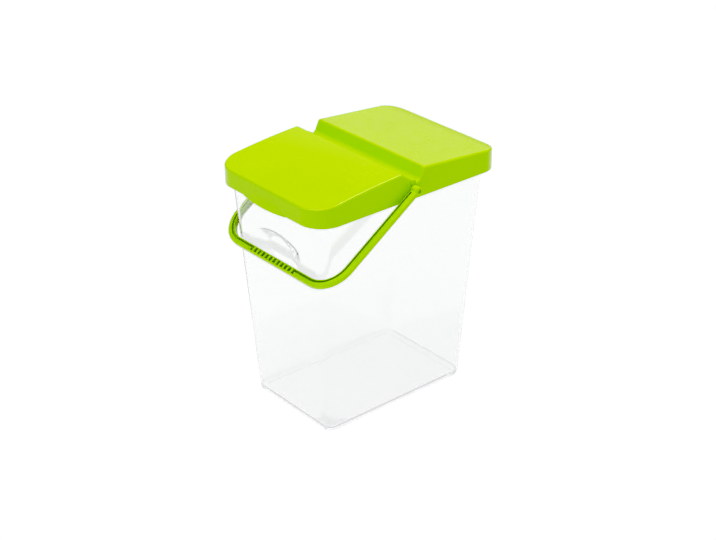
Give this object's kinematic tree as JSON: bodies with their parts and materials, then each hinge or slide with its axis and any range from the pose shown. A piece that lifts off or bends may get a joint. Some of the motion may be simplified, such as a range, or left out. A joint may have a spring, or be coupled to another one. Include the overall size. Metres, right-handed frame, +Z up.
{
  "type": "storage box",
  "caption": "Tall clear tapered storage box with a lift-off lid, a hinged front flap with a finger lip and a swinging carry handle with a ribbed grip.",
  "frame": {"origin": "middle of the base, on the surface that the box stands on", "axes": "+X across the width, -Y towards the front with the finger lip and the grip, +Z up"},
  "size_m": [0.207, 0.273, 0.3106],
  "materials": {
    "clear_plastic": "clear gloss",
    "lime_plastic": "semi-gloss moulded"
  },
  "bodies": {
    "box": {"clear_box": "clear_plastic"},
    "lid": {"rear_cover": "lime_plastic"},
    "flap": {"front_flap": "lime_plastic"},
    "handle": {"carry_handle": "lime_plastic"}
  },
  "joints": [
    {"name": "lid_lift", "type": "slide", "parent": "box", "child": "lid", "axis": [0, 0, 1], "range_m": [0, 0.08]},
    {"name": "flap_hinge", "type": "hinge", "parent": "lid", "child": "flap", "pos_m": [0, 0.0005, 0.2952], "axis": [-1, 0, 0], "range_deg": [0, 92]},
    {"name": "handle_swing", "type": "hinge", "parent": "box", "child": "handle", "pos_m": [0, 0.0005, 0.2885], "axis": [-1, 0, 0], "range_deg": [0, 248]}
  ]
}
